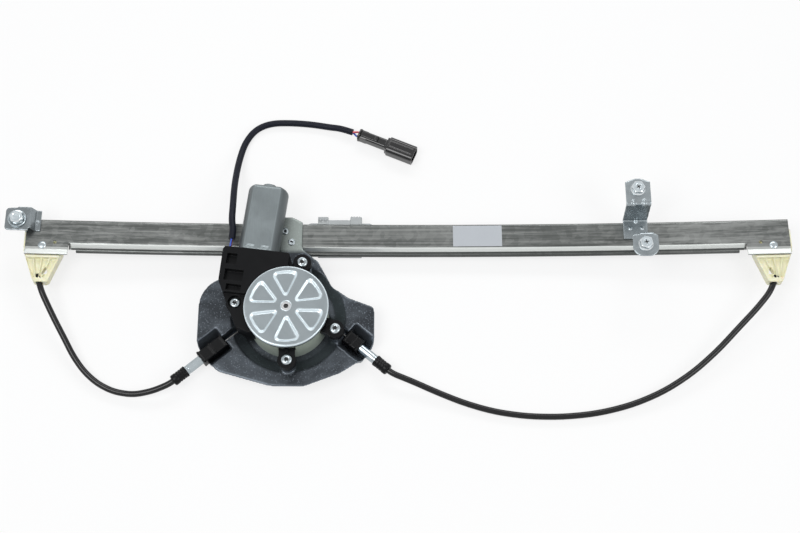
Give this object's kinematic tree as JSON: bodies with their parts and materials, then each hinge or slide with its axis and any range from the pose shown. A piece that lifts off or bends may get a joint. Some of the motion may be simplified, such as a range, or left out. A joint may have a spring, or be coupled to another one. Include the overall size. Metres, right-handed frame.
{
  "type": "window regulator",
  "caption": "Cable-driven power window regulator: curved guide rail with sliding carrier, drum pan, worm gearbox, motor, two conduits and a wired connector.",
  "frame": {"origin": "centre of the drum pan's flat back face, on the drum's axis", "axes": "+X along the rail, +Y across it towards its upper edge, +Z out of the base plate's front, along the drum's axis"},
  "size_m": [0.6679, 0.2779, 0.0575],
  "materials": {
    "galvanised_rail": "galvanised, drawn lengthwise",
    "galvanised_plate": "dark bluish galvanised, speckled",
    "zinc_bracket": "zinc plated",
    "zinc_fastener": "bright zinc",
    "steel_shaft": "ground",
    "adjuster_chrome": "polished",
    "black_moulding": "glass filled, satin",
    "cover_steel": "pressed, grey coated",
    "pale_moulding": "pale grey green",
    "ivory_moulding": "ivory acetal",
    "slider_moulding": "pale grey acetal",
    "wheel_moulding": "natural nylon",
    "motor_steel": "grey coated, drawn",
    "magnet": "ferrite",
    "copper": "enamelled wire",
    "bronze": "sintered",
    "carbon": "pressed carbon",
    "cable_steel": "stranded",
    "conduit_black": "satin sheath",
    "damper_rubber": "moulded",
    "hub_steel": "machined",
    "white_rubber": "soft",
    "sleeve_black": "ribbed sleeve",
    "wire_blue": "insulation",
    "wire_red": "insulation",
    "connector_black": "glossy",
    "label_white": "blank film"
  },
  "bodies": {
    "root": {"guide_rail": "galvanised_rail", "left_bracket": "zinc_bracket", "left_bracket_bolt": "zinc_fastener", "left_bolt_washer": "zinc_fastener", "right_bracket": "zinc_bracket", "right_bracket_bolts": "zinc_fastener", "bracket_weld_nuts": "zinc_fastener", "blank_label": "label_white", "left_cable_guide": "ivory_moulding", "right_cable_guide": "ivory_moulding", "guide_rivets": "zinc_fastener", "plate_rivets": "zinc_fastener", "base_plate": "galvanised_plate", "axle_pin": "steel_shaft", "lift_cable": "cable_steel", "gearbox_housing": "black_moulding", "gear_cover": "cover_steel", "drum_cover": "pale_moulding", "motor_screws": "zinc_fastener", "motor_can": "motor_steel", "motor_magnets": "magnet", "brush_card": "black_moulding", "carbon_brushes": "carbon", "shaft_bushes": "bronze", "wire_grommet": "white_rubber", "lead_sleeve": "sleeve_black", "blue_lead": "wire_blue", "red_lead": "wire_red", "connector_shell": "connector_black", "connector_lock": "connector_black", "connector_terminals": "bronze", "left_adjuster_body": "black_moulding", "left_adjuster_tube": "adjuster_chrome", "left_adjuster_spring": "steel_shaft", "left_conduit_cap": "black_moulding", "left_conduit": "conduit_black", "right_adjuster_body": "black_moulding", "right_adjuster_tube": "adjuster_chrome", "right_adjuster_spring": "steel_shaft", "right_conduit_cap": "black_moulding", "right_conduit": "conduit_black"},
    "drum": {"cable_drum": "ivory_moulding", "wound_cable": "cable_steel", "drive_hub": "hub_steel", "wheel_damper": "damper_rubber", "worm_wheel": "wheel_moulding"},
    "armature": {"armature_shaft": "steel_shaft", "armature_core": "magnet", "armature_windings": "copper", "commutator": "copper"},
    "carrier": {"carrier_slider": "slider_moulding", "glass_plate": "galvanised_plate", "carrier_rivets": "zinc_fastener", "cable_nipples": "cable_steel"}
  },
  "joints": [
    {"name": "carrier_travel", "type": "hinge", "parent": "root", "child": "carrier", "pos_m": [0.1, 0, 4.3162], "axis": [0, -1, 0], "range_deg": [-2.53, 4.06]},
    {"name": "drum_spin", "type": "hinge", "parent": "root", "child": "drum", "pos_m": [0, 0, 0.01], "axis": [0, 0, 1], "range_deg": [-544.36, 873.85]},
    {"name": "armature_spin", "type": "hinge", "parent": "root", "child": "armature", "pos_m": [-0.03176, 0.0039, 0.033], "axis": [0.1219, 0.9925, 0], "range_deg": [-32661.86, 52430.88]}
  ],
  "couplings": [
    {"joint": "drum_spin", "follows": "carrier_travel", "ratio": 215},
    {"joint": "armature_spin", "follows": "carrier_travel", "ratio": 12900}
  ]
}
